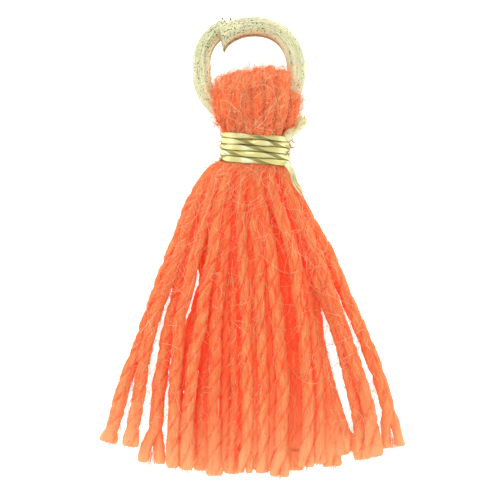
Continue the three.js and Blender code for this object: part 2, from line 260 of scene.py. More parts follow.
# Loose fibres sown on strands: usual reach, rise and curl, how far they turn from the strand's direction, the
# places skipped at its start, how crowded they are there, their own places, and whether they grow upwards.
Sowing = namedtuple("Sowing", "reach lift curl spread skipped crowded rings upwards",
                    defaults=(1.0, 6, False))
NAP = Sowing(0.3, 0.035, 0.03, 0.5, 4, 1.0, 4, True)
ON_SKIRT = Sowing(0.6, 0.05, 0.06, 0.35, 4, 1.3)
UNDER_SKIRT = Sowing(0.6, 0.03, 0.05, 0.3, 20)
SKIRT_SIDES = Sowing(0.5, 0.16, 0.08, 0.6, 8, 1.3)
ON_HEAD = Sowing(0.5, 0.05, 0.06, 0.5, 6)
CROWN = Sowing(0.4, 0.2, 0.08, 0.9, 0)
HEAD_SIDES = Sowing(0.5, 0.15, 0.1, 0.8, 6)
# Curly fibres lying over strands: usual reach, rise over the yarn's top, how crowded they are at the strands'
# start, and the share of a fibre that has to lie over the yarn.
Curling = namedtuple("Curling", "reach over_top crowded kept")
SKIRT_CURLING = Curling(1.8, 0.05, 1.6, 0.93)
SIDE_CURLING = Curling(1.8, 0.08, 1.5, 0.65)
HEAD_CURLING = Curling(1.3, 0.08, 1.0, 0.85)
# Hairs of the thread: usual reach and range of tones, at its loose ends and at the sides of the binding.
Hairs = namedtuple("Hairs", "reach tones")
TAIL_HAIRS = Hairs(0.35, (0.3, 0.75))
SIDE_HAIRS = Hairs(0.3, (0.86, 1.0))
# Thickness of the hairs of the thread, and of curly and straight fibres over the yarn's own.
THREAD_HAIR, CURLY_SHARE, STRAIGHT_SHARE = 0.035, 0.85, 0.75

# Light and colours that lie over the main ones, among them the red and the strength of the yarn's painted
# glow.
WHITE = (1.0, 1.0, 1.0, 1.0)
PAINTED_GLOW_RED = (1.0, 0.08, 0.03, 1.0)
PAINTED_GLOW_STRENGTH = 0.12
YARN_SHEEN = (1.0, 0.55, 0.35, 1.0)
FUZZ_SHEEN = (1.0, 0.7, 0.5, 1.0)
RING_PALE = (0.73, 0.7, 0.43)
RING_SCRATCH = (0.3, 0.3, 0.16)
RING_FLANK_SHADE = (0.32, 0.335, 0.21)
RING_CREAM = (0.9, 0.86, 0.58)
RING_COPPER_WEAR_AND_REFLECTION = (0.34, 0.31, 0.14)
RING_GLINT = (0.95, 0.92, 0.66)
FOIL_DULL = (0.54, 0.5, 0.18)
FOIL_PALE = (0.84, 0.82, 0.42)
FOIL_GLINT = (0.95, 0.98, 0.64)
FOIL_CREASE = (0.58, 0.54, 0.2)


class TasselYarn(bpy.types.PropertyGroup):
    """Sizes and colours of the yarn."""

    strand: FloatProperty(
        name="Strand", description="Diameter of a twisted strand",
        default=0.6 * MM, unit="LENGTH", precision=5)
    twist: FloatProperty(
        name="Twist", description="Length of one full turn of the two plies",
        default=2.05 * MM, unit="LENGTH", precision=5)
    fibre: FloatProperty(
        name="Fibre", description="Diameter of a loose fibre", default=0.026 * MM, unit="LENGTH", precision=6)
    skirt_nap: IntProperty(name="Skirt nap", description="Short fibres all over the skirt", default=6500)
    skirt_fibres: IntProperty(name="Skirt fibres", description="Loose fibres along the skirt", default=2600)
    head_fibres: IntProperty(name="Head fibres", description="Loose fibres over the head", default=3000)
    skirt_curls: IntProperty(name="Skirt curls", description="Long curly fibres over the skirt", default=780)
    head_curls: IntProperty(name="Head curls", description="Long curly fibres over the head", default=320)
    # Painted shade: the yarn's colour in the grooves between fibres, where it lies deep in the shade, on the
    # packed yarn behind the strands and on the skirt's sunk fibres.
    deep: FloatVectorProperty(
        name="Deep", description="Colour in the grooves between fibres",
        subtype="COLOR", default=(0.88, 0.06, 0.022))
    # Painted shade in the creases between the two plies of the skirt's strands.
    groove: FloatVectorProperty(
        name="Groove", description="Colour between the two plies of a strand",
        subtype="COLOR", default=(0.8, 0.075, 0.026))
    coral: FloatVectorProperty(
        name="Coral", description="Main colour of the yarn", subtype="COLOR", default=(0.78, 0.182, 0.057))
    # Painted light: the raised fibres are lighter. The slower patches take this colour too.
    light: FloatVectorProperty(
        name="Light", description="Colour of the raised fibres", subtype="COLOR", default=(0.8, 0.31, 0.112))
    cut: FloatVectorProperty(
        name="Cut", description="Paler colour towards the cut ends",
        subtype="COLOR", default=(0.86, 0.46, 0.21))
    # Painted shadow: the darkest loose fibres, and on the head the creases between plies and the fibres sunk
    # under the tops.
    shadow: FloatVectorProperty(
        name="Shadow", description="Colour of the darkest loose fibres",
        subtype="COLOR", default=(0.5, 0.074, 0.021))
    fuzz: FloatVectorProperty(
        name="Fuzz", description="Colour of the loose fibres", subtype="COLOR", default=(0.87, 0.41, 0.17))
    palest: FloatVectorProperty(
        name="Palest", description="Colour of the palest loose fibres",
        subtype="COLOR", default=(1.0, 0.8, 0.46))


class TasselMetal(bpy.types.PropertyGroup):
    """Sizes and colours of the ring and the foil thread."""

    wire: FloatProperty(
        name="Wire", description="Diameter of the ring's wire", default=WIRE * MM, unit="LENGTH", precision=5)
    thread: FloatProperty(
        name="Thread", description="Width of the foil thread",
        default=THREAD * MM, unit="LENGTH", precision=5)
    champagne: FloatVectorProperty(
        name="Champagne", description="Plating of the ring", subtype="COLOR", default=(0.68, 0.665, 0.4))
    tarnish: FloatVectorProperty(
        name="Tarnish", description="Duller patches of the plating",
        subtype="COLOR", default=(0.57, 0.57, 0.36))
    pits: FloatVectorProperty(
        name="Pits", description="Dark specks in the plating", subtype="COLOR", default=(0.12, 0.12, 0.05))
    foil: FloatVectorProperty(
        name="Foil", description="Broad sides of the foil", subtype="COLOR", default=(0.75, 0.69, 0.27))
    olive: FloatVectorProperty(
        name="Olive", description="Narrow sides of the foil", subtype="COLOR", default=(0.24, 0.21, 0.05))
    # Dark core thread where it frays, and painted shade in the seams between the turns.
    core: FloatVectorProperty(
        name="Core", description="Dark core thread, seen between turns and where it frays",
        subtype="COLOR", default=(0.15, 0.11, 0.04))


class TasselStudio(bpy.types.PropertyGroup):
    """Light and floor."""

    sky: FloatProperty(name="Sky", description="Strength of the even light from all round", default=1.0)
    key: FloatProperty(name="Key", description="Power of the large soft light", default=0.75, unit="POWER")
    glow: FloatProperty(name="Glow", description="Light that the pale floor gives from below", default=0.9)
    floor: FloatVectorProperty(
        name="Floor", description="Colour of the floor", subtype="COLOR", default=(0.9, 0.9, 0.9))


def unit(vectors):
    """Each vector over its own length."""
    return vectors / np.linalg.norm(vectors, axis=-1, keepdims=True)


def angles(sides):
    """Even angles round a section."""
    return np.arange(sides) / sides * TURN


def joined(*fields):
    """Fields of single numbers as one field of vectors."""
    return np.stack(np.broadcast_arrays(*fields), axis=-1)


def turned(first, second, angle):
    """The first direction turned towards the second: first by the angle's cosine plus second by its sine."""
    return first * np.cos(angle)[..., None] + second * np.sin(angle)[..., None]


def sections(middle, first, second, reach, depth):
    """Sections round the places of a route: its middle, plus the reach along the first direction, plus the
    depth along the second, both given for each place and angle."""
    return (middle[..., None, :] + first[..., None, :] * reach[..., None]
            + second[..., None, :] * depth[..., None])


def read_off(at, known, table):
    """The columns of a table read off at places between the known ones."""
    return np.stack([np.interp(at, known, column) for column in table.T], axis=-1)


def ring_place(share):
    """Middle of the wire at shares of the turn: a circle whose radius shrinks with a power of the nearness to
    the front end, grows with a power of the nearness to the back end and has two shoulders above the middle,
    stepping down through the stagger, then leaned."""
    share = np.asarray(share, float)
    angle = RING_START - share * RING_SWEEP
    inwards = FRONT_BEND.reach * np.maximum(0, 1 - share / FRONT_BEND.share) ** FRONT_BEND.growth
    outwards = BACK_BEND.reach * np.maximum(0, 1 - (1 - share) / BACK_BEND.share) ** BACK_BEND.growth
    radius = RING_RADIUS - inwards + outwards + SHOULDERS * (np.sin(angle) > 0) * np.sin(2 * angle) ** 2
    y, z = radius * np.sin(angle), RING_STAGGER * (0.5 - share)
    cosine, sine = math.cos(RING_LEAN), math.sin(RING_LEAN)
    return joined(radius * np.cos(angle), cosine * y + sine * z, cosine * z - sine * y) + RING_CENTRE


def lay_shift():
    """How far the frame's middle lies from the tables': its ring's box against the ring's own route."""
    low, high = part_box("jump_ring")
    route = ring_place(np.linspace(0.05, 0.95, 400))
    own = (route[:, 0].min() + route[:, 0].max()) / 2
    return np.array([(low.x + high.x) / 2 / MM - own, high.y / MM - route[:, 1].max() - WIRE / 2, 0.0])


def lengths_along(route):
    """Summed length at each place of the routes."""
    steps = np.linalg.norm(np.diff(route, axis=-2), axis=-1)
    return np.concatenate([np.zeros(steps.shape[:-1] + (1,)), np.cumsum(steps, axis=-1)], axis=-1)


def smooth_route(points, count):
    """A centripetal curve through the points as count places: each span is the cubic that has the points' own
    slopes, sampled finely, then read off at even steps of its summed length."""
    p = np.asarray(points, float)
    p = np.vstack([2 * p[0] - p[1], p, 2 * p[-1] - p[-2]])
    step = np.linalg.norm(np.diff(p, axis=0), axis=1)[:, None] ** 0.5
    slope = np.diff(p, axis=0) / step
    tangent = slope[:-1] - (p[2:] - p[:-2]) / (step[:-1] + step[1:]) + slope[1:]
    knots, spans = p[1:-1], step[1:-1]
    fine = np.linspace(0, len(knots) - 1, 50 * (len(knots) - 1) + 1)
    at = np.minimum(fine.astype(int), len(knots) - 2)
    t = (fine - at)[:, None]
    curve = ((1 + 2 * t) * (1 - t) ** 2 * knots[at] + t**2 * (3 - 2 * t) * knots[at + 1]
             + t * (1 - t) ** 2 * spans[at] * tangent[at] + t**2 * (t - 1) * spans[at] * tangent[at + 1])
    length = lengths_along(curve)
    return read_off(length[-1] * np.linspace(0, 1, count), length, curve)


def route_frame(route, up):
    """Directions at each place: along it, across it (up crossed with along) and over it (the two crossed)."""
    along = unit(np.gradient(route, axis=-2))
    across = unit(np.cross(up, along))
    return along, across, np.cross(along, across)


def tube_faces(tubes, rings, sides):
    """Faces of closed tubes: four-sided between neighbouring places and angles, and a fan on each pole."""
    ring = np.arange(rings - 1)[:, None] * sides
    side = np.arange(sides)
    after = (side + 1) % sides
    quads = np.stack([ring + side, ring + after, ring + sides + after, ring + sides + side], axis=-1)
    last, pole = (rings - 1) * sides, rings * sides
    fans = np.concatenate([joined(pole, after, side), joined(pole + 1, last + side, last + after)])
    each = np.arange(tubes)[:, None, None] * (pole + 2)
    return (quads.reshape(-1, 4) + each).reshape(-1, 4), (fans + each).reshape(-1, 3)


class Mesh:
    """Closed tubes gathered for one piece, with the values that its finish reads at each vertex."""

    def __init__(self, top=None):
        self.points, self.quads, self.fans, self.values, self.count = [], [], [], {}, 0
        self.top = top

    def tubes(self, grid, **values):
        """Adds tubes from a grid of tubes x places x angles, each end closed on the mean of its section."""
        grid = grid.reshape((-1,) + grid.shape[-3:])
        tubes, rings, sides = grid.shape[:3]

        def closed(field):
            """The field at every vertex, each tube's two poles last."""
            field = np.broadcast_to(field, grid.shape)
            poles = np.stack([field[:, 0].mean(axis=1), field[:, -1].mean(axis=1)], axis=1)
            return np.concatenate([field.reshape(tubes, -1, 3), poles], axis=1).reshape(-1, 3)

        quads, fans = tube_faces(tubes, rings, sides)
        self.quads.append(quads + self.count)
        self.fans.append(fans + self.count)
        self.points.append(closed(grid))
        for name, field in values.items():
            self.values.setdefault(name, []).append(closed(field))
        self.count += len(self.points[-1])

    def put(self, name, finish, slot, replaced):
        """Makes the piece, in metres and in the frame's own place, riding on the charm."""
        points = np.concatenate(self.points)
        points[:, 2] = np.maximum(points[:, 2], 0.0)
        quads, fans = np.concatenate(self.quads), np.concatenate(self.fans)
        mesh = bpy.data.meshes.new(name)
        mesh.from_pydata(((points + lay_shift()) * MM).tolist(), [], quads.tolist() + fans.tolist(), False)
        for value, fields in self.values.items():
            layer = mesh.attributes.new(value, "FLOAT_VECTOR", "POINT")
            layer.data.foreach_set("vector", np.concatenate(fields).ravel().astype(np.float32))
        mesh.validate()
        mesh.materials.append(finish)
        piece = bpy.data.objects.new(name, mesh)
        bpy.context.scene.collection.objects.link(piece)
        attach(piece, BODY)
        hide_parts(replaced)


def neck_place(share, lift, y, reach):
    """Place in the neck for shares of its half width and of its half thickness there."""
    across = share * reach
    rise = lift * reach * math.sqrt(max(0.0, 1 - share**2))
    return (NECK[0] + across, y + across * NECK_SKEW, NECK[2] + rise)


def strand_route(strand, rings):
    """Route of one hanging end: from inside the neck through its levels to the cut, sinking with a power of
    what is left of the way."""
    mouth = neck_place(strand.neck, strand.lift, MOUTH, NECK_RADIUS - 0.2)

    def place(x, y):
        """A place at this x and y, at the height for what is left of the way."""
        left = (y - strand.end_y) / (MOUTH - strand.end_y)
        return (x, y, strand.rest + (mouth[2] - strand.rest) * left**SINKING)

    levels = [(strand.high * FLARE_SPREAD + FLARE_SHIFT, FLARE),
              (strand.high * SHOULDER_SPREAD + SHOULDER_SHIFT, SHOULDER),
              (strand.high, HIGH), (strand.middle, MIDDLE), (strand.low, LOW), (strand.end_x, strand.end_y)]
    inside = (mouth[0], mouth[1] + 0.4, mouth[2])
    return smooth_route([inside, mouth, *(place(*level) for level in levels)], rings)


def routes_of(strands, rings):
    """Routes of a table of hanging ends."""
    return np.array([strand_route(strand, rings) for strand in strands])


def loop_route(loop, rings):
    """Route of one folded length: up the front from the neck, over the ring's wire and down the back."""
    up, down = LOOP_FRONT + loop.lift, LOOP_BACK
    shoulder = loop.crown_y - ROUNDED_BELOW
    points = [
        neck_place(loop.neck, 1, NECK_INSIDE, NECK_RADIUS - 0.3),
        neck_place(loop.neck, 1, NECK_TOP, NECK_RADIUS),
        (loop.front, loop.leg_y, HEAD_HEIGHT + up),
        (loop.crown_x, shoulder, HEAD_HEIGHT + up * ROUNDED),
        (loop.crown_x, loop.crown_y - MIDDLE_BELOW, HEAD_HEIGHT),
        (loop.crown_x, shoulder, HEAD_HEIGHT - down * ROUNDED),
        (loop.back, loop.leg_y, HEAD_HEIGHT - down),
        neck_place(loop.neck, -1, NECK_TOP, NECK_RADIUS),
        neck_place(loop.neck, -1, NECK_INSIDE, NECK_RADIUS - 0.3),
    ]
    return smooth_route(points, rings)


def cover_over(routes, reach):
    """Height of the yarn's top over each square of the surface: every place of the routes lifts the squares
    within reach to the round top over it."""
    places = routes.reshape(-1, 3)
    home = np.round((places[:, :2] - COVER_CORNER) / COVER_STEP).astype(int)
    span = np.arange(-int(reach / COVER_STEP), int(reach / COVER_STEP) + 1)
    cover = np.zeros(COVER_SQUARES)
    for dx, dy in np.array(np.meshgrid(span, span)).reshape(2, -1).T:
        left = reach**2 - (dx**2 + dy**2) * COVER_STEP**2
        if left > 0:
            np.maximum.at(cover, (home[:, 0] + dx, home[:, 1] + dy), places[:, 2] + math.sqrt(left))
    return cover


def softened(cover, times):
    """The map with each square at the mean of itself and its neighbours, so many times over."""
    for _ in range(times):
        for axis in (0, 1):
            cover = (np.roll(cover, 1, axis) + cover + np.roll(cover, -1, axis)) / 3
    return cover


def tops(routes):
    """Softened map of the tops of the strands that follow the routes."""
    return softened(cover_over(routes, 0.3), 5)


def cover_at(cover, x, y):
    """The map's height at places, from the four squares round each."""
    u = np.clip((x - COVER_CORNER[0]) / COVER_STEP, 0, COVER_SQUARES[0] - 1.001)
    v = np.clip((y - COVER_CORNER[1]) / COVER_STEP, 0, COVER_SQUARES[1] - 1.001)
    i, j = u.astype(int), v.astype(int)
    u, v = u - i, v - j
    return ((cover[i, j] * (1 - u) + cover[i + 1, j] * u) * (1 - v)
            + (cover[i, j + 1] * (1 - u) + cover[i + 1, j + 1] * u) * v)


def sunk_under(top, grid):
    """How far points lie under the map of the tops, as a share of the depth that is in full shade."""
    return np.clip((cover_at(top, grid[..., 0], grid[..., 1]) - grid[..., 2]) / SHADED_UNDER, 0, 1)


def waved(rng, length, wave):
    """A slow wave along each strand: its size times the mean of three sines of seeded length and phase."""
    each = (len(length), 1)
    total = 0.0
    for _ in range(3):
        wavelength = rng.uniform(wave.shortest, wave.longest, each)
        total = total + np.sin(TURN * length / wavelength + rng.uniform(0, TURN, each))
    return wave.size * (total / 3)


def twist_angle(rng, length, loosened, parted):
    """Angle of the plies at each place: the sum of the twist's slowly varying pace. It starts anywhere, but
    where the plies part it ends at nought, so that they part sideways."""
    twist = bpy.context.scene.tassel_yarn.twist / MM
    each = (len(length), 1)
    pace = TURN / twist * loosened * (1 + waved(rng, length, PACE)) * rng.uniform(0.85, 1.15, each)
    angle = np.cumsum(pace * np.gradient(length, axis=1), axis=1)
    return angle + rng.uniform(0, TURN, each) * ~parted - angle[:, -1:] * parted


def plies(mesh, rng, routes, up, sides, opening, tips, top, grooved, **columns):
    """Two plies wound right-handed round each route. A ply's middle circles the route once in each twist, and
    its section is an ellipse, wider round the strand than towards the middle. The section opens from the soft
    one over the opening length, as far as the strand's twist shows, and near a cut the twist loosens and the
    plies part. What lies under the map of the tops, facing up, is in the shade, and in a groove as far as
    grooved says. Returns what the loose fibres grow from."""
    splay, girth, twisted, shade = (np.reshape(columns[name], (-1, 1)) for name in PLY_COLUMNS)
    strand = bpy.context.scene.tassel_yarn.strand / MM * girth
    length = lengths_along(routes)
    left = length[:, -1:] - length
    sideways = waved(rng, length, WANDER) * np.minimum(1, length / 2)
    along, across, over = route_frame(routes, up)
    routes = routes + across * sideways[..., None]
    parted = splay > PARTED
    parting = np.exp(-left / np.where(parted, PARTED_OVER, WHOLE_OVER))
    loosened = 1 - tips * np.where(parted, 1.0, WHOLE_LOOSENED) * parting
    phase = twist_angle(rng, length, loosened, parted)
    part = splay * parting * np.where(parted, np.clip(np.cos(phase), 0, 1), 1.0)
    swell = 1 + waved(rng, length, SWELL) + waved(rng, length, RIPPLE)
    ends = 1 + tips * (SPREAD * np.exp(-left / SPREAD_OVER) - THINNED * np.exp(-left / THINNED_OVER))
    opened = np.clip(length / opening, 0, 1) * twisted
    out, deep, wide = (strand * (soft + (own - soft) * opened) for soft, own in zip(SOFT_TWIST, OPEN_TWIST))
    hollow = (deep / out * (0.35 + 0.65 * opened))[..., None]
    near_cut = (np.exp(-left / PALER_OVER) * tips)[..., None]
    theta = angles(sides)
    for ply in range(2):
        place = phase + ply * math.pi
        radial, around = turned(across, over, place), turned(over, -across, place)
        flat = across * np.where(np.cos(place[:, -1:]) > 0, 1, -1)[..., None]
        middle = routes + radial * out[..., None] + flat * part[..., None]
        grid = sections(middle, radial, around, (deep * swell * ends)[..., None] * np.cos(theta),
                        (wide * swell * ends)[..., None] * np.sin(theta))
        angle = theta + FIBRE_TURN * place[..., None]
        size = strand[..., None] * FIBRE_RADIUS
        start = rng.uniform(0, 40, (len(routes), 1, 1))
        lay = joined(np.cos(angle) * size, np.sin(angle) * size, length[..., None] + start)
        rising = unit(grid - middle[:, :, None])[..., 2]
        under = sunk_under(top, grid)
        # Painted shade: the strand's own shade, raised where a point lies under the tops and faces up.
        shaded = np.maximum(0.8 * shade[..., None], under * np.clip(0.5 + 1.5 * rising, 0, 1))
        # Painted shade and glow in the crease between the two plies, and under the tops as far as grooved
        # says.
        inner = np.maximum(-np.cos(theta) * hollow, grooved * under * np.clip(1 + 1.5 * rising, 0, 1))
        mesh.tubes(grid, lay=lay, wear=joined(near_cut, shaded, inner))
    return routes, along, across, over, length


def hair_tubes(mesh, rng, route, outward, thickness, tones):
    """Thin three-sided tubes along routes, tapering by half, each of its own thickness and tone. Where the
    mesh has a map of the tops, the second value is how far they are sunk under it."""
    count, rings = route.shape[:2]
    forward = unit(np.gradient(route, axis=1))
    first = unit(np.cross(forward, outward + 0.01))
    taper = 1 - 0.5 * np.linspace(0, 1, rings)[:, None]
    radius = thickness / 2 * rng.uniform(0.6, 1.15, (count, 1, 1)) * taper
    theta = angles(3)
    grid = sections(route, first, np.cross(forward, first), radius * np.cos(theta), radius * np.sin(theta))
    tone = rng.uniform(*tones, (count, 1, 1))
    under = tone if mesh.top is None else sunk_under(mesh.top, grid)
    mesh.tubes(grid, wear=joined(tone, under, tone), lay=grid)


def curls(mesh, rng, routes, count, curling):
    """Long curly fibres lying over the yarn. Each starts over a seeded place of the routes, crowded towards
    their start by a power, and its heading is a slow bend plus a sine of the way gone. It keeps to the
    softened top of the yarn and rises a little over it halfway. Those with less than the kept share over the
    yarn are left out."""
    yarn = bpy.context.scene.tassel_yarn
    edge = cover_over(routes, yarn.strand / MM / 2 + 0.12)
    top = softened(cover_over(routes, yarn.strand / MM / 2), 3)
    each = (2 * count, 1)
    share = rng.uniform(0, 1, 2 * count) ** curling.crowded
    start = routes[rng.integers(0, len(routes), 2 * count), (share * (routes.shape[1] - 1)).astype(int)]
    t = np.linspace(0, 1, 14)
    heading = -math.pi / 2 + rng.normal(0, 0.9, each) + math.pi * rng.integers(0, 2, each)
    bend, swing, waves = rng.normal(0, 1.05, each), rng.normal(0, 0.5, each), rng.uniform(0.5, 1.7, each)
    heading = heading + bend * t + swing * np.sin(TURN * waves * t + rng.uniform(0, TURN, each))
    reach = curling.reach
    step = np.clip(rng.gamma(3.0, reach / 3, each), 0.3 * reach, 2.4 * reach) / (len(t) - 1)
    x = start[:, :1] + rng.normal(0, 0.15, each) + np.cumsum(np.cos(heading), axis=1) * step
    y = start[:, 1:2] + np.cumsum(np.sin(heading), axis=1) * step
    stays = (cover_at(edge, x, y) > 0.3).mean(axis=1) > curling.kept
    x, y = x[stays][:count], y[stays][:count]
    each = (len(x), 1)
    lift = rng.uniform(-0.6, 0.6, each) + rng.exponential(1.0, each) * np.sin(math.pi * t)
    route = joined(x, y, cover_at(top, x, y) + curling.over_top * lift)
    hair_tubes(mesh, rng, route, Z_AXIS, CURLY_SHARE * yarn.fibre / MM, (0.2, 1.0))


def fibre_tubes(mesh, rng, base, along, outward, reach, lift, curl, rings=6):
    """Loose fibres as thin closed tubes. Each runs from its base along its direction, rises by the lift times
    the way gone (and the sine of half a turn of it), and curls sideways by a sine of the way gone."""
    each = (len(base), 1, 1)
    reach, lift, curl = (np.reshape(value, each) for value in (reach, lift, curl))
    t = np.linspace(0, 1, rings)[:, None]
    phase, bends = rng.uniform(0, TURN, each), rng.uniform(0.4, 1.3, each)
    sway = curl * (np.sin(TURN * bends * t + phase) - np.sin(phase))
    rise = lift * (rng.uniform(-0.2, 1.0, each) * t + 0.8 * np.sin(math.pi * t))
    side, outward = unit(np.cross(along, outward))[:, None], outward[:, None]
    route = base[:, None] + along[:, None] * reach * t + side * sway + outward * rise
    fibre = bpy.context.scene.tassel_yarn.fibre / MM
    hair_tubes(mesh, rng, route, outward, STRAIGHT_SHARE * fibre, (0.05, 0.95))


def fibres_on(mesh, rng, grown, count, sowing):
    """Sows fibres on strands: a seeded strand, place and angle each, past the skipped places and crowded
    towards the top by a power. A fibre's direction is the strand's own, turned over the surface by a normal
    spread."""
    routes, along, across, over, _ = grown
    strand = bpy.context.scene.tassel_yarn.strand / MM
    which = rng.integers(0, len(routes), count)
    share = rng.uniform(0, 1, count) ** sowing.crowded
    here = which, (sowing.skipped + share * (routes.shape[1] - 3 - sowing.skipped)).astype(int)
    angle = rng.normal(math.pi / 2, 0.95, count) if sowing.upwards else rng.uniform(0, TURN, count)
    outward, around = turned(across[here], over[here], angle), turned(over[here], -across[here], angle)
    forward = unit(turned(along[here], around, rng.normal(0.25, sowing.spread, count)))
    base = routes[here] + outward * strand * rng.uniform(0.34, 0.5, count)[:, None]
    reach = np.minimum(rng.gamma(3.0, sowing.reach / 3.0, count), 2 * sowing.reach)
    lift = np.minimum(rng.exponential(sowing.lift, count), 2.5 * sowing.lift)
    curl = np.clip(rng.normal(0, sowing.curl, count), -2 * sowing.curl, 2 * sowing.curl)
    fibre_tubes(mesh, rng, base, forward, outward, reach, lift, curl, sowing.rings)


def tufts(mesh, rng, grown, each):
    """Fibres that stand out of each cut end: they start a little short of it and spread past it."""
    routes, along, across, over, length = grown
    which = np.repeat(np.arange(len(routes)), each)
    count = len(which)
    angle = rng.uniform(0, TURN, count)
    here = which, -rng.integers(3, 9, count)
    outward = turned(across[here], over[here], angle)
    strand = bpy.context.scene.tassel_yarn.strand / MM
    base = routes[here] + outward * strand * rng.uniform(0.1, 0.46, count)[:, None]
    forward = unit(along[here] + outward * rng.normal(0.0, 0.16, (count, 1)))
    reach = length[which, -1] - length[here] + rng.exponential(0.1, count) - 0.03
    lift, curl = rng.exponential(0.02, count), rng.normal(0, 0.02, count)
    fibre_tubes(mesh, rng, base, forward, outward, reach, lift, curl)


def new_finish(name):
    """A material, its tree and its Principled shader."""
    finish = bpy.data.materials.new(name)
    finish.use_nodes = True
    return finish, finish.node_tree, finish.node_tree.nodes["Principled BSDF"]


def put_in(tree, socket, value):
    """Links a socket to an input, or sets it."""
    if isinstance(value, bpy.types.NodeSocket):
        tree.links.new(value, socket)
    else:
        socket.default_value = value


def filled(tree, node, **inputs):
    """The node with its inputs filled by name."""
    for name, value in inputs.items():
        put_in(tree, node.inputs[name.replace("_", " ")], value)
    return node


def added(tree, kind, **inputs):
    """A new node with its inputs filled by name."""
    return filled(tree, tree.nodes.new(kind), **inputs)


def reckoned(tree, operation, *values):
    """The result of a reckoning with values."""
    node = tree.nodes.new("ShaderNodeMath")
    node.operation = operation
    for socket, value in zip(node.inputs, values):
        put_in(tree, socket, value)
    return node.outputs[0]


def attribute(tree, name):
    """The piece's own attribute as a vector."""
    node = tree.nodes.new("ShaderNodeAttribute")
    node.attribute_name = name
    return node.outputs["Vector"]


def wear_and_painted_light_parts(tree):
    """The three values that the piece carries for its finish: real wear and tone, and where painted shade,
    glow and glints go.
    """
    return added(tree, "ShaderNodeSeparateXYZ", Vector=attribute(tree, "wear")).outputs[:]


def grain(tree, place, stretch, detail=3.0, roughness=0.55):
    """Noise on a place stretched by its own scale along each axis."""
    mapped = added(tree, "ShaderNodeMapping", Vector=place, Scale=stretch).outputs["Vector"]
    noise = added(tree, "ShaderNodeTexNoise", Vector=mapped, Scale=1.0, Detail=detail, Roughness=roughness)
    return noise.outputs["Fac"]


def ramp(tree, value, stops):
    """Colour ramp through stops of place and colour."""
    made = added(tree, "ShaderNodeValToRGB", Fac=value)
    elements = made.color_ramp.elements
    while len(elements) < len(stops):
        elements.new(0.5)
    for element, (place, colour) in zip(elements, stops):
        element.position = place
        element.color = (*colour, 1.0)
    return made.outputs["Color"]


def between(tree, value, low, high, bottom=0.0, top=1.0):
    """A value carried from one range into another, held at its ends."""
    ends = {"From_Min": low, "From_Max": high, "To_Min": bottom, "To_Max": top}
    return added(tree, "ShaderNodeMapRange", Value=value, **ends).outputs["Result"]


def blended(tree, share, first, second):
    """Two colours mixed by a share."""
    made = tree.nodes.new("ShaderNodeMix")
    made.data_type = "RGBA"
    put_in(tree, made.inputs[0], share)
    for socket, colour in ((made.inputs[6], first), (made.inputs[7], second)):
        put_in(tree, socket, colour if isinstance(colour, bpy.types.NodeSocket) else (*colour, 1.0))
    return made.outputs[2]


def layered(tree, colour, *layers):
    """A colour under layers, each a value, the two places between which it comes in, a share and a colour."""
    for value, low, high, share, layer in layers:
        colour = blended(tree, between(tree, value, low, high, 0.0, share), colour, layer)
    return colour


def bumped(tree, strength, depth, height):
    """The normal over a height of so many millimetres."""
    bump = added(tree, "ShaderNodeBump", Strength=strength, Distance=depth * MM, Height=height)
    return bump.outputs["Normal"]


def painted_glow(tree, shader, glow):
    """Painted glow: a faint red light of the yarn's own, which stands in for the light that the vivid fibres
    pass on to each other.
    """
    filled(tree, shader, Emission_Color=PAINTED_GLOW_RED, Emission_Strength=glow)


def yarn_finish(name, groove, glow, deep_glow):
    """Twisted yarn: fine streaks along the fibres, painted in shade in the grooves and lighter on the raised
    fibres, slower patches, painted shade where the yarn lies deep and in the creases between plies, paler cut
    ends, the streaks as bump, a soft sheen, and a painted red glow, which grows in the creases and deep
    places."""
    yarn = bpy.context.scene.tassel_yarn
    finish, tree, shader = new_finish(name)
    lay, (near_cut, shaded, inner) = attribute(tree, "lay"), wear_and_painted_light_parts(tree)
    streaks = grain(tree, lay, (12.0, 12.0, 1.2), 4.0, 0.6)
    patches = grain(tree, lay, (2.2, 2.2, 0.8), 2.0)
    # Patches that make the painted shade of the creases uneven.
    crease_patches = between(tree, grain(tree, lay, (3.0, 3.0, 1.6), 2.0), 0.4, 0.6, 0.2, 0.75)
    # Fibre grain, painted in shade in the grooves between fibres and in painted light on the raised fibres.
    colour = ramp(tree, streaks, [(0.3, yarn.deep), (0.47, yarn.coral), (0.66, yarn.light)])
    # Lighter patches, then painted shade where the yarn lies deep under the tops.
    colour = layered(tree, colour, (patches, 0.45, 0.75, 0.45, yarn.light),
                     (shaded, 0.0, 1.0, 0.9, yarn.deep))
    # Painted shade in the creases between plies, stronger in some patches.
    colour = blended(tree, reckoned(tree, "MULTIPLY", between(tree, inner, 0.1, 1.0), crease_patches), colour, groove)
    colour = layered(tree, colour, (near_cut, 0.0, 1.0, 0.85, yarn.cut))
    filled(tree, shader, Base_Color=colour, Roughness=0.9, Specular_IOR_Level=0.15, Sheen_Weight=0.25,
           Sheen_Roughness=0.4, Sheen_Tint=YARN_SHEEN, Normal=bumped(tree, 0.9, 0.035, streaks))
    # Painted glow: the yarn's red light, stronger in the creases between plies and deep between strands.
    painted_glow(tree, shader, between(tree, inner, 0.1, 0.9, glow, deep_glow))
    return finish


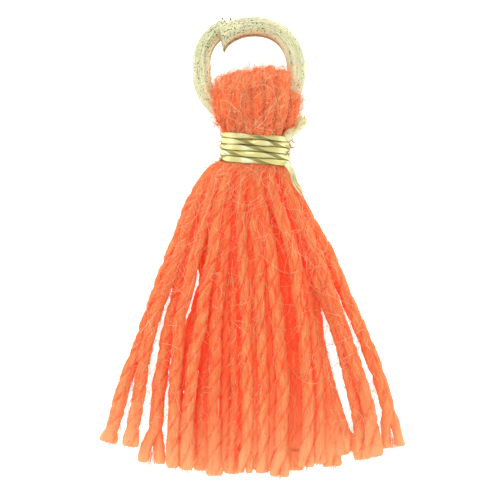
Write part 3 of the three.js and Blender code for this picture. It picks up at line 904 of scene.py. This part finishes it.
def fuzz_finish(name, sunk, deep_glow):
    """Loose fibres: pale coral, each of its own tone, the darkest in a painted shadow colour, with a strong
    sheen.
    Deep between the strands they are painted in the given shade colour and get more of the painted red glow."""
    yarn = bpy.context.scene.tassel_yarn
    finish, tree, shader = new_finish(name)
    tone, under, _ = wear_and_painted_light_parts(tree)
    colour = ramp(tree, tone, [(0.0, yarn.shadow), (0.15, yarn.coral), (0.6, yarn.fuzz), (1.0, yarn.palest)])
    # Painted shade: fibres sunk under the tops of the strands are mixed towards the given shade colour.
    filled(tree, shader, Base_Color=layered(tree, colour, (under, 0.0, 1.0, 0.9, sunk)), Roughness=0.8,
           Specular_IOR_Level=0.2, Sheen_Weight=0.3, Sheen_Tint=FUZZ_SHEEN)
    # Painted glow of the fibres, stronger where they are sunk under the tops of the strands.
    painted_glow(tree, shader, between(tree, under, 0.0, 1.0, PAINTED_GLOW_STRENGTH, deep_glow))
    return finish


def heart_finish():
    """Packed yarn behind the strands, in painted shade: from the deep shade colour to coral, with grain drawn
    out along the skirt, and the painted red glow.
    """
    yarn = bpy.context.scene.tassel_yarn
    finish, tree, shader = new_finish("coral_heart")
    place = added(tree, "ShaderNodeTexCoord").outputs["Object"]
    streaks = grain(tree, place, (5000.0, 500.0, 5000.0), 4.0)
    colour = ramp(tree, streaks, [(0.35, yarn.deep), (0.75, yarn.coral)])
    filled(tree, shader, Base_Color=colour, Roughness=0.95, Specular_IOR_Level=0.1,
           Normal=bumped(tree, 0.8, 0.05, streaks))
    painted_glow(tree, shader, PAINTED_GLOW_STRENGTH)
    return finish


def ring_finish():
    """Plated wire: pale champagne with olive pits, thickest near the cut ends, fine scratches along the wire
    with painted glints along some of them, and greyish patches, with the pits and scratches as bump. Its
    flanks are painted darker in shade, and its inner side goes through cream to copper, the copper partly
    plating wear and partly a painted reflection of the yarn."""
    metal = bpy.context.scene.tassel_metal
    finish, tree, shader = new_finish("champagne_plating")
    lay, (near_end, inward, rising) = attribute(tree, "lay"), wear_and_painted_light_parts(tree)
    specks = grain(tree, lay, (18.0, 18.0, 12.0), 1.5, 0.5)
    thinnest = between(tree, near_end, 0.0, 1.0, 0.352, 0.435)
    pitted = between(tree, reckoned(tree, "SUBTRACT", thinnest, specks), 0.0, 0.012)
    scratches = grain(tree, lay, (22.0, 22.0, 0.6), 2.0, 0.5)
    clouds = grain(tree, lay, (1.6, 1.6, 1.2), 3.0)
    colour = ramp(tree, clouds, [(0.35, metal.tarnish), (0.5, metal.champagne), (0.7, RING_PALE)])
    colour = layered(tree, colour,
                     (scratches, 0.54, 0.62, 0.4, RING_SCRATCH),
                     # Painted shade on the wire's flanks.
                     (rising, 0.5, 0.1, 0.4, RING_FLANK_SHADE),
                     (inward, 0.5, 0.6, 0.5, RING_CREAM),
                     # Copper on the inner side: partly plating wear, partly a painted reflection of the yarn.
                     (inward, 0.92, 0.95, 0.9, RING_COPPER_WEAR_AND_REFLECTION),
                     # Painted glints in streaks along the wire.
                     (scratches, 0.42, 0.34, 0.5, RING_GLINT),
                     (pitted, 0.0, 1.0, 0.95, metal.pits),
                     (inward, -1.5, -2.0, 1.0, metal.pits))
    height = reckoned(tree, "MULTIPLY_ADD", pitted, -1.0, between(tree, scratches, 0.5, 0.7, 0.3, 0.0))
    filled(tree, shader, Base_Color=colour, Metallic=0.55, Normal=bumped(tree, 0.8, 0.03, height),
           Roughness=between(tree, clouds, 0.3, 0.7, 0.42, 0.6))
    return finish


def foil_finish():
    """Twisted foil: broad sides pale gold, each facet of its own brightness with a painted glint, narrow
    sides olive, painted shade in the seams between the turns, and creases along the thread as bump."""
    metal = bpy.context.scene.tassel_metal
    finish, tree, shader = new_finish("gold_foil")
    lay, (narrow, tone, facing) = attribute(tree, "lay"), wear_and_painted_light_parts(tree)
    creases = grain(tree, lay, (14.0, 14.0, 1.0), 3.0)
    colour = ramp(tree, tone, [(0.0, FOIL_DULL), (0.4, metal.foil), (0.75, FOIL_PALE), (0.95, FOIL_GLINT)])
    colour = layered(tree, colour, (creases, 0.35, 0.65, 0.4, FOIL_CREASE),
                     (narrow, 0.77, 0.83, 0.9, metal.olive))
    # Painted shade in the seams between turns, broken up by the creases.
    seam_shade = reckoned(tree, "MULTIPLY", between(tree, facing, 0.66, 0.9),
                    between(tree, creases, 0.35, 0.55, 0.35, 0.75))
    filled(tree, shader, Base_Color=blended(tree, seam_shade, colour, metal.core), Metallic=0.5, Roughness=0.32,
           Normal=bumped(tree, 0.5, 0.02, creases))
    return finish


def floor_finish():
    """Plain pale floor with a faint grain."""
    studio = bpy.context.scene.tassel_studio
    finish, tree, shader = new_finish("pale_floor")
    place = added(tree, "ShaderNodeTexCoord").outputs["Object"]
    paler = tuple(min(1.0, 1.03 * channel) for channel in studio.floor)
    colour = ramp(tree, grain(tree, place, (40.0, 40.0, 40.0)), [(0.3, tuple(studio.floor)), (0.7, paler)])
    filled(tree, shader, Base_Color=colour, Roughness=0.9, Specular_IOR_Level=0.1, Emission_Color=WHITE,
           Emission_Strength=studio.glow)
    return finish


def heart_grid(sides):
    """Ellipses through the levels: each one's numbers are read off between the two levels round it."""
    y = np.linspace(HEART[0, 0], HEART[-1, 0], 60)
    x, wide, z, thick = read_off(y, HEART[:, 0], HEART[:, 1:]).T[..., None]
    theta = angles(sides)
    return joined(x - wide * np.cos(theta), y[:, None], z + thick * np.sin(theta))


def bed_grid(top, sides):
    """Packed yarn under the skirt's front: between its edges the top keeps a set depth under the strands' own
    softened top, and the underside lies at a third of that height."""
    y = np.linspace(BED[0, 0], BED[-1, 0], 110)
    left, right = read_off(y, BED[:, 0], BED[:, 1:]).T[..., None]
    theta = angles(sides)
    x = (left + right) / 2 - (right - left) / 2 * np.cos(theta)
    height = np.maximum(cover_at(top, x, y[:, None]) - BED_DEPTH, BED_LEAST)
    return joined(x, y[:, None], height * (0.65 + 0.35 * np.tanh(3 * np.sin(theta))))


def thread_grid(route, outward, roll, half_width, half_thickness, sides):
    """A flat thread along a route: its section is a rounded oblong whose short axis is turned from the
    outward direction by the roll."""
    along = unit(np.gradient(route, axis=0))
    up = unit(outward - along * (outward * along).sum(axis=1, keepdims=True))
    side = np.cross(up, along)
    theta = angles(sides)
    wide, thick = (np.sign(part) * np.abs(part) ** 0.75 for part in (np.cos(theta), np.sin(theta)))
    return sections(route, turned(side, up, roll), turned(up, -side, roll), half_width[:, None] * wide,
                    half_thickness[:, None] * thick)


def thread_values(route, tone, grid, narrowed=1.0):
    """The finish's values along a thread: how far a point is towards a narrow side, the place's brightness
    with its painted glints, and how far a point faces the next turn, which brings the painted shade of the
    seams."""
    theta = angles(grid.shape[1])
    facing = np.abs(unit(grid - route[:, None])[..., 1])
    return {"lay": joined(np.cos(theta) * 0.15, np.sin(theta) * 0.15, lengths_along(route)[:, None]),
            "wear": joined(narrowed * np.abs(np.cos(theta)), tone[:, None], narrowed * facing)}


def frayed(mesh, rng, start, heading, hairs):
    """Short curly hairs of the thread: each heading swings by a sine of the way gone and drifts steadily."""
    each = (len(start), 1)
    t = np.linspace(0, 1, 9)
    heading = heading[:, None] + rng.normal(0, 2.0, each) * t
    heading += 0.6 * np.sin(TURN * t + rng.uniform(0, TURN, each))
    step = hairs.reach * rng.uniform(0.4, 1.3, each) / (len(t) - 1)
    way = joined(np.cumsum(np.cos(heading), axis=1) * step, np.cumsum(np.sin(heading), axis=1) * step,
                 rng.normal(0, 0.1, each) * t)
    hair_tubes(mesh, rng, start[:, None] + way, Z_AXIS, THREAD_HAIR, hairs.tones)


def ring_wire(mesh, radius):
    """The ring's wire: round sections across its route, the front end squeezed wider and both ends slanted
    over the length of the cut. Returns the route and the directions across it."""
    route = ring_place(np.linspace(0, 1, RING_RINGS))
    along, across, over = route_frame(route, RING_NORMAL)
    length = lengths_along(route)
    left = length[-1] - length
    theta = angles(RING_SIDES)
    sideways = np.cos(theta) * radius * (1 + SQUEEZED * np.exp(-length / SQUEEZED_OVER))[:, None]
    cut = (FRONT_SLANT * np.maximum(0, 1 - length / CUT_LENGTH)
           + BACK_SLANT * np.maximum(0, 1 - left / CUT_LENGTH))[:, None]
    grid = (sections(route, across, over, sideways, np.sin(theta) * radius)
            + along[:, None] * (cut * sideways)[..., None])
    near_end = np.exp(-np.minimum(length, left) / 1.6)[:, None]
    inward = (unit(RING_CENTRE - route)[:, None] * (grid - route[:, None])).sum(axis=-1) / radius
    mesh.tubes(grid, lay=joined(np.cos(theta) * radius, np.sin(theta) * radius, length[:, None]),
               wear=joined(near_end, inward, np.abs(np.sin(theta))))
    return route, across


def ring_burr(mesh, radius, burr, route, across):
    """A burr of the cut: a spike that stands out from the wire's side, thinner with the square of the way."""
    foot = int(burr.share * (RING_RINGS - 1))
    tip, theta = np.linspace(0, 1, 6)[:, None], angles(6)
    base = route[foot] + 0.88 * radius * across[foot]
    spike = base + burr.length * tip * (across[foot] + burr.lean * X_AXIS)
    thin = BURR_RADIUS * (1 - 0.4 * tip**2)
    grid = sections(spike, X_AXIS, -Z_AXIS, thin * np.cos(theta), thin * np.sin(theta))
    mesh.tubes(grid, lay=np.array([0.0, 0.0, 0.3]), wear=np.array(BURR_WEAR))


def wound_thread(mesh, rng, half):
    """The thread's turns round the neck: a helix, flattened, tilted and of uneven radius. Its roll grows by
    half a turn from one narrow side to the next, with those on the front where the table has them."""
    reach = BINDING_RADIUS - half
    angle = np.linspace(BINDING_OVERRUN[0], TURNS * TURN + BINDING_OVERRUN[1], BINDING_RINGS)
    length = reach * angle
    out = joined(np.cos(angle), 0.0, BINDING_FLATTENED * np.sin(angle))
    rise = (angle / TURN - TURNS / 2 + 0.25) * TURN_PITCH + reach * np.cos(angle) * math.tan(BINDING_TILT)
    uneven = waved(rng, length[None], THREAD_WANDER)[0]
    route = NECK + out * (reach + uneven)[:, None] + joined(0.0, rise, 0.0)
    marks = [reach * (turn * TURN + math.acos(x / reach))
             for turn, row in enumerate(NARROW_SIDES) for x in row]
    steps = np.maximum(1, np.round(np.diff(marks) / FACET_SPACING))
    facets = np.interp(length, marks, np.concatenate([[0], np.cumsum(steps)]))
    facets += (np.minimum(0, length - marks[0]) + np.maximum(0, length - marks[-1])) / FACET_SPACING
    roll = math.pi * (0.5 + facets) + FACET_FLATNESS / 2 * np.sin(TURN * facets)
    full = np.full(BINDING_RINGS, half)
    grid = thread_grid(route, out, roll, full * FOIL_WIDE, full * FOIL_THICK, 20)
    cloudy = waved(rng, length[None], THREAD_CLOUDS)[0]
    # Painted glint: a brighter band on each facet a little after its narrow side, over the thread's slow
    # changes of tone.
    glint = np.exp(-((facets % 1 - GLINT_PLACE) / GLINT_WIDTH) ** 2)
    tone = 0.5 + 0.3 * cloudy + (0.22 + 0.4 * cloudy) * glint
    mesh.tubes(grid, **thread_values(route, tone, grid))


def loose_end(mesh, rng, tail):
    """A loose end of the thread: strips of foil that fan out along one route, and hairs of the core."""
    share = np.linspace(0, 1, TAIL_RINGS)
    places = smooth_route(tail.route, TAIL_RINGS)
    across = route_frame(places, Z_AXIS)[1]
    for strip in np.linspace(-0.5, 0.5, tail.strips):
        route = read_off(share * rng.uniform(0.85, 1.0), share, places)
        route += across * (strip * tail.spread * (0.5 + 0.5 * share))[:, None]
        roll = math.pi * (tail.turned[0] + tail.turned[1] * share * rng.uniform(0.5, 1.5))
        wide = tail.half_width * np.minimum(1, (1 - share) * 6 + 0.25)
        grid = thread_grid(route, Z_AXIS, roll, wide, 0.4 * wide, 10)
        tone = np.full(TAIL_RINGS, rng.uniform(0.8, 1.0))
        mesh.tubes(grid, **thread_values(route, tone, grid, 0.74))
    at = rng.integers(5, TAIL_RINGS - 4, tail.frays)
    along = np.gradient(places, axis=0)[at]
    start = places[at] + rng.normal(0, 0.25 * tail.spread, (tail.frays, 3))
    heading = np.arctan2(along[:, 1], along[:, 0]) + rng.normal(0, 0.25, tail.frays)
    frayed(mesh, rng, start, heading, TAIL_HAIRS)


def side_hairs(mesh, rng, fray):
    """Hairs of the core at one side of the binding, which start on its round."""
    y = rng.uniform(fray.low, fray.high, fray.count)
    lift = rng.uniform(0.1, 0.8, fray.count)
    x = NECK[0] + fray.side * (np.sqrt(BINDING_RADIUS**2 - lift**2) - 0.04)
    frayed(mesh, rng, joined(x, y, NECK[2] + lift), rng.uniform(0, TURN, fray.count), SIDE_HAIRS)


def hanging(mesh, rng, strands, grid, top):
    """Plies of a table of hanging ends."""
    columns = {name: [getattr(strand, name) for strand in strands] for name in PLY_COLUMNS}
    return plies(mesh, rng, routes_of(strands, grid[0]), Z_AXIS, grid[1], 5.0, 1.0, top, 0.6, **columns)


def between_strands():
    """Strands in the grooves: the mean of two neighbours, sunk and in the shade."""
    means = [Strand(*np.mean([STRANDS[left], STRANDS[left + 1]], axis=0)) for left in BETWEEN]
    return [mean._replace(lift=mean.lift - BETWEEN_SUNK, rest=max(UNDER_REST, mean.rest - BETWEEN_SUNK),
                          end_y=mean.end_y + 0.15, splay=0.05, girth=0.95, twisted=0.4, shade=0.85)
            for mean in means]


def under_strands():
    """The fan of strands that lies on the surface."""
    return [Strand(lift=-0.7, rest=UNDER_REST, splay=0.08, girth=1.0, twisted=0.6, shade=0.5,
                   **{key: left + (right - left) * share for key, (left, right) in UNDER_FAN.items()})
            for share in np.linspace(0, 1, UNDER_COUNT)]


class TASSEL_OT_skirt(bpy.types.Operator):
    """Hanging ends of the yarn, below the binding"""

    bl_idname = "tassel.skirt"
    bl_label = "Skirt"

    def execute(self, context):
        yarn = context.scene.tassel_yarn
        rng = np.random.default_rng(SKIRT_SEED)
        finish = yarn_finish("coral_yarn", yarn.groove, PAINTED_GLOW_STRENGTH, 0.32)
        fuzz = fuzz_finish("coral_fuzz", yarn.deep, 0.3)
        top = tops(routes_of(STRANDS, FRONT_GRID[0]))
        front, back, nap, hairs, curly, ends = (Mesh(top) for _ in range(6))
        grown = hanging(front, rng, STRANDS, FRONT_GRID, top)
        hanging(back, rng, between_strands(), BETWEEN_GRID, top)
        below = hanging(back, rng, under_strands(), UNDER_GRID, top)
        fibres_on(nap, rng, grown, yarn.skirt_nap, NAP)
        fibres_on(hairs, rng, grown, yarn.skirt_fibres, ON_SKIRT)
        fibres_on(hairs, rng, below, yarn.skirt_fibres // 12, UNDER_SKIRT)
        for side in (slice(0, 3), slice(-3, None)):
            fibres_on(hairs, rng, [field[side] for field in grown], yarn.skirt_fibres // 6, SKIRT_SIDES)
        curls(curly, rng, grown[0], yarn.skirt_curls // 3, SKIRT_CURLING)
        for side in (grown[0][:4], grown[0][-5:]):
            curls(curly, rng, side, yarn.skirt_curls // 4, SIDE_CURLING)
        tufts(ends, rng, grown, FRONT_TUFT)
        tufts(ends, rng, below, UNDER_TUFT)
        pieces = {"skirt_front": (front, finish), "skirt_back": (back, finish), "skirt_nap": (nap, fuzz),
                  "skirt_fuzz": (hairs, fuzz), "skirt_curls": (curly, fuzz), "cut_ends": (ends, fuzz)}
        for name, (mesh, own) in pieces.items():
            mesh.put(name, own, "yarn", "yarn")
        return {"FINISHED"}


class TASSEL_OT_head(bpy.types.Operator):
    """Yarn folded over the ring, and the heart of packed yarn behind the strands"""

    bl_idname = "tassel.head"
    bl_label = "Head"

    def execute(self, context):
        yarn = context.scene.tassel_yarn
        rng = np.random.default_rng(HEAD_SEED)
        rings, sides = LOOP_GRID
        routes = np.array([loop_route(loop, rings) for loop in LOOPS])
        folded, heart, hairs = (Mesh(tops(routes)) for _ in range(3))
        grown = plies(folded, rng, routes, X_AXIS, sides, 1.0, 0.0, folded.top, 0.95, splay=0,
                      girth=LOOP_GIRTH, twisted=LOOP_TWISTED, shade=rng.uniform(0.15, 0.45, len(LOOPS)))
        folded.put("head_loops", yarn_finish("folded_yarn", yarn.shadow, 0.08, 0.04), "yarn", "yarn")
        heart.tubes(heart_grid(48))
        heart.tubes(bed_grid(tops(routes_of(STRANDS, FRONT_GRID[0])), 96))
        heart.put("heart", heart_finish(), "yarn", "yarn")
        fibres_on(hairs, rng, grown, yarn.head_fibres, ON_HEAD)
        fibres_on(hairs, rng, [field[:, 34:66] for field in grown], yarn.head_fibres // 3, CROWN)
        curls(hairs, rng, grown[0][:, :60], yarn.head_curls, HEAD_CURLING)
        fibres_on(hairs, rng, [field[[0, -1], :60] for field in grown], yarn.head_fibres // 5, HEAD_SIDES)
        hairs.put("head_fuzz", fuzz_finish("folded_fuzz", yarn.shadow, 0.08), "yarn", "yarn")
        return {"FINISHED"}


class TASSEL_OT_ring(bpy.types.Operator):
    """Split wire ring with pinch-cut ends"""

    bl_idname = "tassel.ring"
    bl_label = "Ring"

    def execute(self, context):
        radius = context.scene.tassel_metal.wire / MM / 2
        mesh = Mesh()
        route, across = ring_wire(mesh, radius)
        for burr in BURRS:
            ring_burr(mesh, radius, burr, route, across)
        mesh.put("ring", ring_finish(), "ring_metal", "jump_ring")
        return {"FINISHED"}


class TASSEL_OT_binding(bpy.types.Operator):
    """Foil thread wound round the neck, with its two loose ends"""

    bl_idname = "tassel.binding"
    bl_label = "Binding"

    def execute(self, context):
        rng = np.random.default_rng(BINDING_SEED)
        mesh = Mesh()
        wound_thread(mesh, rng, context.scene.tassel_metal.thread / MM / 2)
        for tail in TAILS:
            loose_end(mesh, rng, tail)
        for fray in FRAYS:
            side_hairs(mesh, rng, fray)
        mesh.put("binding_thread", foil_finish(), "foil_thread", "binding")
        return {"FINISHED"}


class TASSEL_OT_studio(bpy.types.Operator):
    """Plain floor, even light and the camera straight above"""

    bl_idname = "tassel.studio"
    bl_label = "Studio"

    def execute(self, context):
        scene, studio = context.scene, context.scene.tassel_studio
        bpy.ops.mesh.primitive_plane_add(size=FLOOR_SIZE)
        floor = context.active_object
        floor.name = "floor"
        floor.data.materials.append(floor_finish())
        world = bpy.data.worlds.new("even_light")
        world.use_nodes = True
        background = world.node_tree.nodes["Background"]
        background.inputs["Color"].default_value = WHITE
        background.inputs["Strength"].default_value = studio.sky
        scene.world = world
        key = bpy.data.objects.new("key", bpy.data.lights.new("key", "AREA"))
        key.data.energy = studio.key
        key.data.size = KEY_SIZE
        key.location = KEY_PLACE
        key.rotation_euler = (-key.location.normalized()).to_track_quat("-Z", "Y").to_euler()
        camera = bpy.data.objects.new("camera", bpy.data.cameras.new("camera"))
        camera.data.sensor_width = SENSOR
        camera.data.lens = SENSOR * CAMERA_HEIGHT / (PICTURE_PX / PX_PER_MM)
        camera.data.clip_start = 0.01
        camera.data.clip_end = 10.0
        camera.location = (np.array([*PICTURE_MIDDLE, CAMERA_HEIGHT]) + lay_shift()) * MM
        for thing in (key, camera):
            scene.collection.objects.link(thing)
        scene.camera = camera
        scene.view_settings.view_transform = "Standard"
        return {"FINISHED"}


class TASSEL_PT_panel(bpy.types.Panel):
    """Sizes, colours and pieces of the tassel charm"""

    bl_label = "Tassel Charm"
    bl_idname = "TASSEL_PT_panel"
    bl_space_type = "VIEW_3D"
    bl_region_type = "UI"
    bl_category = "Tassel"

    def draw(self, context):
        for group in (context.scene.tassel_yarn, context.scene.tassel_metal, context.scene.tassel_studio):
            box = self.layout.box()
            for name in group.bl_rna.properties.keys():
                if name not in ("rna_type", "name"):
                    box.prop(group, name)
        for operator in PIECES:
            self.layout.operator(operator.bl_idname)


GROUPS = {"tassel_yarn": TasselYarn, "tassel_metal": TasselMetal, "tassel_studio": TasselStudio}
PIECES = (TASSEL_OT_studio, TASSEL_OT_ring, TASSEL_OT_head, TASSEL_OT_skirt, TASSEL_OT_binding)


def register():
    """Registers the groups, the operators and the panel."""
    for kind in (*GROUPS.values(), *PIECES, TASSEL_PT_panel):
        bpy.utils.register_class(kind)
    for name, group in GROUPS.items():
        setattr(bpy.types.Scene, name, PointerProperty(type=group))


def unregister():
    """Takes them away again."""
    for name in GROUPS:
        delattr(bpy.types.Scene, name)
    for kind in (TASSEL_PT_panel, *reversed(PIECES), *reversed(list(GROUPS.values()))):
        bpy.utils.unregister_class(kind)


def main():
    """Builds the scene piece by piece."""
    register()
    bpy.ops.tassel.studio()
    bpy.ops.tassel.ring()
    bpy.ops.tassel.head()
    bpy.ops.tassel.skirt()
    bpy.ops.tassel.binding()


if __name__ == "__main__":
    main()
